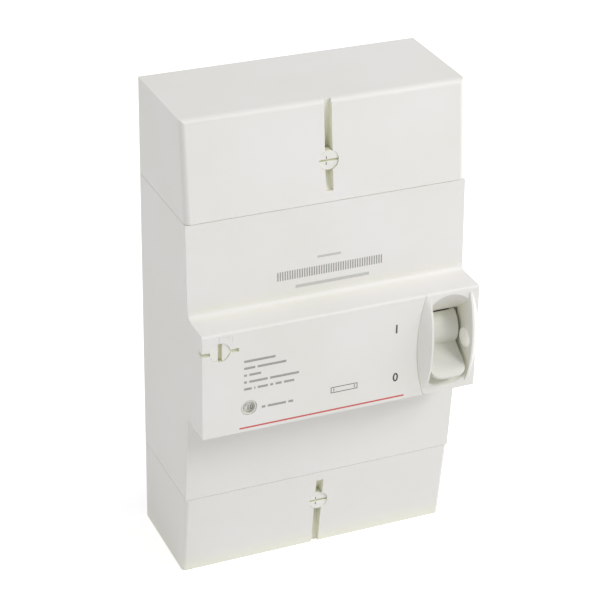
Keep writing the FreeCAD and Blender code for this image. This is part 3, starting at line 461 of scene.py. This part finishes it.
def add_boss_cap():
    """A flattened dome with steep flanks."""
    def ring(reach, rise):
        return [(BOSS_X - rise, BOSS_Y + reach * math.cos(turn), BOSS_Z + reach * math.sin(turn))
                for turn in (2 * math.pi * i / BOSS_STEPS for i in range(BOSS_STEPS))]
    rings = [ring(BOSS_R, -BOSS_SINK)]
    for row in range(BOSS_ROWS + 1):
        lean = math.radians(90) * row / (BOSS_ROWS + BOSS_TOP_ROW)
        rings.append(ring(BOSS_R * math.cos(lean) ** BOSS_FLANK,
                          BOSS_RISE * math.sin(lean) ** BOSS_FLANK))
    add_piece("recess_boss", join_rings(rings), "boss_plastic_painted_light", "casing")


add_boss_cap()

# Raised rim of the rating window: radii, rise, depth behind the face, and its rounding
RIM_IN, RIM_OUT, RIM_RISE, RIM_DEEP = 2.75, 3.42, 0.16, 0.5
RIM_ROUND_OUT, RIM_ROUND_IN = (0.1, 0.08), (0.14, 0.1)
RIM_STEPS = 48


def add_window_rim():
    (out_r, out_y), (in_r, in_y) = RIM_ROUND_OUT, RIM_ROUND_IN
    profile = ((RIM_OUT, RIM_DEEP), (RIM_OUT, out_y - RIM_RISE), (RIM_OUT - out_r, -RIM_RISE),
               (RIM_IN + in_r, -RIM_RISE), (RIM_IN, in_y - RIM_RISE), (RIM_IN, RIM_DEEP))
    rings = []
    for step in range(RIM_STEPS):
        turn = 2 * math.pi * step / RIM_STEPS
        rings.append([(WINDOW_X + r * math.cos(turn), WINDOW_Y + y, WINDOW_Z + r * math.sin(turn))
                      for r, y in profile])
    add_piece("window_rim", join_rings(rings, closed=True), "window_rim", "casing", split_from=50)


add_window_rim()

# Print lies on the casing's own surface: this far off it, and this thick
PRINT_GAP = 0.02 * MM
PRINT_THICK = 0.03 * MM
PRINT_JOIN = 0.001 * MM
IN_FRONT = -0.2


def surface_of(node_name):
    shape = node_shape(node_name)
    tree = BVHTree.FromBMesh(shape)
    shape.free()
    return tree


nose_print = surface_of("middle_cover")


def on_front(tree, x, z):
    """Depth of the surface at (x, z), seen from the front."""
    return tree.ray_cast(Vector((x, IN_FRONT, z)), Vector((0.0, 1.0, 0.0)))[0].y


def add_slab(shape, tree, outline, thick=PRINT_THICK):
    """A thin raised patch with the given outline of (x, z) points, in metres."""
    back = [shape.verts.new((x, on_front(tree, x, z) - PRINT_GAP, z)) for x, z in outline]
    front = [shape.verts.new((v.co.x, v.co.y - thick, v.co.z)) for v in back]
    shape.faces.new(front)
    shape.faces.new(reversed(back))
    for i in range(len(outline)):
        j = (i + 1) % len(outline)
        shape.faces.new((back[i], back[j], front[j], front[i]))


def box_outline(x0, x1, z0, z1):
    return [(x0 * MM, z0 * MM), (x1 * MM, z0 * MM), (x1 * MM, z1 * MM), (x0 * MM, z1 * MM)]


def printed(name, shape, material, body="casing"):
    bmesh.ops.remove_doubles(shape, verts=shape.verts, dist=PRINT_JOIN)
    bmesh.ops.recalc_face_normals(shape, faces=shape.faces)
    piece = add_object(name, shape, material)
    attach(piece, body)


def print_boxes(name, material, boxes, thick=PRINT_THICK):
    """Boxes of (left, right, low, high), in millimetres over the lower end, as one piece."""
    shape = bmesh.new()
    for left, right, low, high in boxes:
        add_slab(shape, nose_print, box_outline(left, right, at(low), at(high)), thick)
    printed(name, shape, material)


# ON and OFF marks beside the handle: a stroke and an oval
STROKE_BOX = (24.2, 24.95, 116.6, 120.7)
OVAL_X, OVAL_Z, OVAL_WIDE, OVAL_HIGH, OVAL_STROKE = 24.9, 95.1, 2.5, 4.2, 0.72
OVAL_STEPS = 32

RED_LINE = (-46.6, 29.2, 85.0, 85.7)

# Rows of grey bars on the nose: (left end, height, lengths)
BAR_ROWS = (
    (-44.6, 116.6, (13.9,)),
    (-44.6, 113.3, (4.9, 12.8)),
    (-44.6, 110.0, (1.2, 5.2)),
    (-44.6, 106.7, (1.2, 8.2, 13.0)),
    (-44.6, 103.4, (3.4, 0.5, 4.5, 1.3, 2.7, 4.6)),
    (-36.6, 93.4, (1.6, 8.2, 2.2)),
)
BAR_THICK = 1.05
BAR_GAP = 1.1

# Even upright bars above the nose
UPRIGHT_LEFT, UPRIGHT_COUNT, UPRIGHT_PITCH, UPRIGHT_WIDE = -23.2, 44, 1.1, 0.52
UPRIGHT_LOW, UPRIGHT_HIGH = 142.0, 146.0

PALE_BARS = ((-5.0, 5.6, 149.6, 150.6), (-15.0, 18.6, 137.6, 139.0), (-6.0, 38.0, 78.2, 79.4))

# Thin empty frame with a stroke near each end
FRAME_LEFT, FRAME_RIGHT, FRAME_LOW, FRAME_HIGH = -5.2, 7.1, 93.6, 96.4
FRAME_LINE = 0.28
STROKE_IN, STROKE_CLEAR = 1.3, 0.6

# Fine moulded marks over the nose screw
MOULDED_MARKS = ((-55.35, -54.85, 128.1, 131.2), (-54.2, -51.0, 130.6, 130.95),
                 (-51.3, -51.0, 129.2, 130.6), (-49.6, -49.25, 127.6, 130.2))
MARK_RISE = 0.12 * MM


def oval_point(step, shrink):
    turn = 2 * math.pi * step / OVAL_STEPS
    return ((OVAL_X + (OVAL_WIDE / 2 - shrink) * math.cos(turn)) * MM,
            (at(OVAL_Z) + (OVAL_HIGH / 2 - shrink) * math.sin(turn)) * MM)


def print_on_off():
    """The stroke, and the oval as short slabs joined end to end."""
    shape = bmesh.new()
    left, right, low, high = STROKE_BOX
    add_slab(shape, nose_print, box_outline(left, right, at(low), at(high)))
    for step in range(OVAL_STEPS):
        add_slab(shape, nose_print, [oval_point(step, 0.0), oval_point(step + 1, 0.0),
                                     oval_point(step + 1, OVAL_STROKE),
                                     oval_point(step, OVAL_STROKE)])
    printed("on_off_marks", shape, ink_dark)


def row_bars():
    for left, low, lengths in BAR_ROWS:
        for length in lengths:
            yield left, left + length, low, low + BAR_THICK
            left += length + BAR_GAP


def upright_bars():
    for index in range(UPRIGHT_COUNT):
        left = UPRIGHT_LEFT + index * UPRIGHT_PITCH
        yield left, left + UPRIGHT_WIDE, UPRIGHT_LOW, UPRIGHT_HIGH


def frame_bars():
    left, right, low, high, line = FRAME_LEFT, FRAME_RIGHT, FRAME_LOW, FRAME_HIGH, FRAME_LINE
    return ((left, right, low, low + line), (left, right, high - line, high),
            (left, left + line, low + line, high - line),
            (right - line, right, low + line, high - line),
            (left + STROKE_IN, left + STROKE_IN + line, low + STROKE_CLEAR, high - STROKE_CLEAR),
            (right - STROKE_IN - line, right - STROKE_IN, low + STROKE_CLEAR,
             high - STROKE_CLEAR))


print_on_off()
print_boxes("red_line", ink_red, (RED_LINE,))
print_boxes("print_rows", ink_grey, row_bars())
print_boxes("plain_bars", ink_grey, upright_bars())
print_boxes("pale_bars", ink_pale, PALE_BARS)
print_boxes("empty_box", ink_dark, frame_bars())
print_boxes("moulded_marks", materials["cover_plastic"], MOULDED_MARKS, MARK_RISE)

# A tick across the slot of each terminal cover's screw, in two halves
TICK_LEFT = 1.1 * MM
TICK_HALF = 0.16 * MM
TICK_NEAR, TICK_FAR = 0.75 * MM, 1.9 * MM


def add_screw_tick(node_name):
    low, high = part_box(node_name)
    x, z = (low[0] + high[0]) / 2 - TICK_LEFT, (low[2] + high[2]) / 2
    tree = surface_of(node_name)
    shape = bmesh.new()
    for side in (-1, 1):
        near, far = z + side * TICK_NEAR, z + side * TICK_FAR
        add_slab(shape, tree, [(x - TICK_HALF, near), (x + TICK_HALF, near),
                               (x + TICK_HALF, far), (x - TICK_HALF, far)])
    printed(node_name + "_tick", shape, ink_dark, body_of(node_name))


add_screw_tick("upper_seal_screw")
add_screw_tick("lower_seal_screw")

# Numbers on the dial: the one at the lower right is the one that is set
DIAL_NUMBERS = ("10", "20")
DIAL_INDEX = math.radians(50)
DIAL_STEP = math.radians(120)
NUMBER_SIZE = 3.0 * MM
NUMBER_OUT = 1.9 * MM
NUMBER_CURVE_STEPS = 3


def number_mesh(number):
    """A number's shape, lying flat round its own middle."""
    curve = bpy.data.curves.new("number_" + number, "FONT")
    curve.body = number
    curve.size = NUMBER_SIZE
    curve.align_x = "CENTER"
    curve.align_y = "CENTER"
    curve.extrude = PRINT_THICK / 2
    curve.resolution_u = NUMBER_CURVE_STEPS
    text = link_new("number_" + number, curve)
    bpy.context.view_layer.update()
    posed = text.evaluated_get(bpy.context.evaluated_depsgraph_get())
    mesh = bpy.data.meshes.new_from_object(posed)
    bpy.data.objects.remove(text)
    return mesh


def add_numbers():
    stand = Matrix.Rotation(math.radians(90), 4, "X")
    out = Matrix.Translation((NUMBER_OUT * math.cos(DIAL_INDEX), -PRINT_GAP - PRINT_THICK / 2,
                              -NUMBER_OUT * math.sin(DIAL_INDEX)))
    face = Matrix.Translation((dial_centre.x, dial_low[1], dial_centre.z))
    shape = bmesh.new()
    for step, number in enumerate(DIAL_NUMBERS):
        mesh = number_mesh(number)
        mesh.transform(face @ Matrix.Rotation(step * DIAL_STEP, 4, "Y") @ out @ stand)
        shape.from_mesh(mesh)
        bpy.data.meshes.remove(mesh)
    printed("dial_numbers", shape, ink_dark, body_of("rating_dial"))


add_numbers()

# Stage
FLOOR_HALF = 4.0
FLOOR_GREY = 0.86
FLOOR_ROUGH = 0.9
FLOOR_GLOW = 0.52
WORLD_SEEN = 1.0
WORLD_LIGHT = 0.52

# Lamps that look at the object's middle: place in metres, width in metres and watts
MIDDLE = Vector((0, 0, 0))
LAMPS = (
    ("key", (1.055, -1.171, 1.231), 0.7, 14.5),
    ("side_light", (1.673, -0.448, 1.0), 0.7, 12.0),
    ("left_fill", (-1.902, -0.335, 0.518), 0.9, 4.2),
)


def add_greatest(nodes, links, one, other):
    greatest = nodes.new("ShaderNodeMath")
    greatest.operation = "MAXIMUM"
    links.new(one, greatest.inputs[0])
    links.new(other, greatest.inputs[1])
    return greatest.outputs["Value"]


def seen_and_lit(nodes, links, seen, lit, output):
    """What the camera, reflections and clear pieces see, and what lights the object."""
    path = nodes.new("ShaderNodeLightPath").outputs
    looks = add_greatest(nodes, links, path["Is Camera Ray"], path["Is Glossy Ray"])
    looks = add_greatest(nodes, links, looks, path["Is Transmission Ray"])
    mix = nodes.new("ShaderNodeMixShader")
    links.new(looks, mix.inputs["Fac"])
    links.new(lit, mix.inputs[1])
    links.new(seen, mix.inputs[2])
    links.new(mix.outputs["Shader"], output)


def add_floor():
    mesh = bpy.data.meshes.new("floor")
    mesh.from_pydata([(x * FLOOR_HALF, y * FLOOR_HALF, bottom)
                      for x, y in ((-1, -1), (1, -1), (1, 1), (-1, 1))], [], [(0, 1, 2, 3)])
    floor = link_new("floor", mesh)
    material, nodes, links, shader = new_material("floor_paper")
    shader.inputs["Base Color"].default_value = (FLOOR_GREY, FLOOR_GREY, FLOOR_GREY, 1.0)
    shader.inputs["Roughness"].default_value = FLOOR_ROUGH
    glow = nodes.new("ShaderNodeEmission")
    glow.inputs["Strength"].default_value = FLOOR_GLOW
    bright = nodes.new("ShaderNodeAddShader")
    links.new(shader.outputs["BSDF"], bright.inputs[0])
    links.new(glow.outputs["Emission"], bright.inputs[1])
    seen_and_lit(nodes, links, bright.outputs["Shader"], shader.outputs["BSDF"],
                 nodes["Material Output"].inputs["Surface"])
    mesh.materials.append(material)


def add_world():
    world = bpy.data.worlds.new("studio")
    bpy.context.scene.world = world
    world.use_nodes = True
    nodes, links = world.node_tree.nodes, world.node_tree.links
    nodes.clear()
    output = nodes.new("ShaderNodeOutputWorld")
    levels = []
    for level in (WORLD_SEEN, WORLD_LIGHT):
        sky = nodes.new("ShaderNodeBackground")
        sky.inputs["Color"].default_value = (1.0, 1.0, 1.0, 1.0)
        sky.inputs["Strength"].default_value = level
        levels.append(sky.outputs["Background"])
    seen_and_lit(nodes, links, *levels, output.inputs["Surface"])


def look_from(place, aim):
    """The turn that points a camera or lamp at its aim."""
    return (aim - place).to_track_quat("-Z", "Y")


def add_lamp(name, place, size, power):
    data = bpy.data.lights.new(name, "AREA")
    data.shape = "DISK"
    data.size = size
    data.energy = power
    lamp = link_new(name, data)
    lamp.location = place
    lamp.rotation_euler = look_from(Vector(place), MIDDLE).to_euler()


def add_camera():
    data = bpy.data.cameras.new("camera")
    data.lens = CAMERA_LENS
    data.sensor_width = CAMERA_SENSOR
    camera = link_new("camera", data)
    look = look_from(CAMERA_AT, CAMERA_AIM).to_matrix().to_4x4()
    roll = Matrix.Rotation(CAMERA_ROLL, 4, "Z")
    camera.matrix_world = Matrix.Translation(CAMERA_AT) @ look @ roll
    bpy.context.scene.camera = camera


add_floor()
add_world()
for lamp in LAMPS:
    add_lamp(*lamp)
add_camera()

bpy.context.scene.view_settings.view_transform = "Standard"
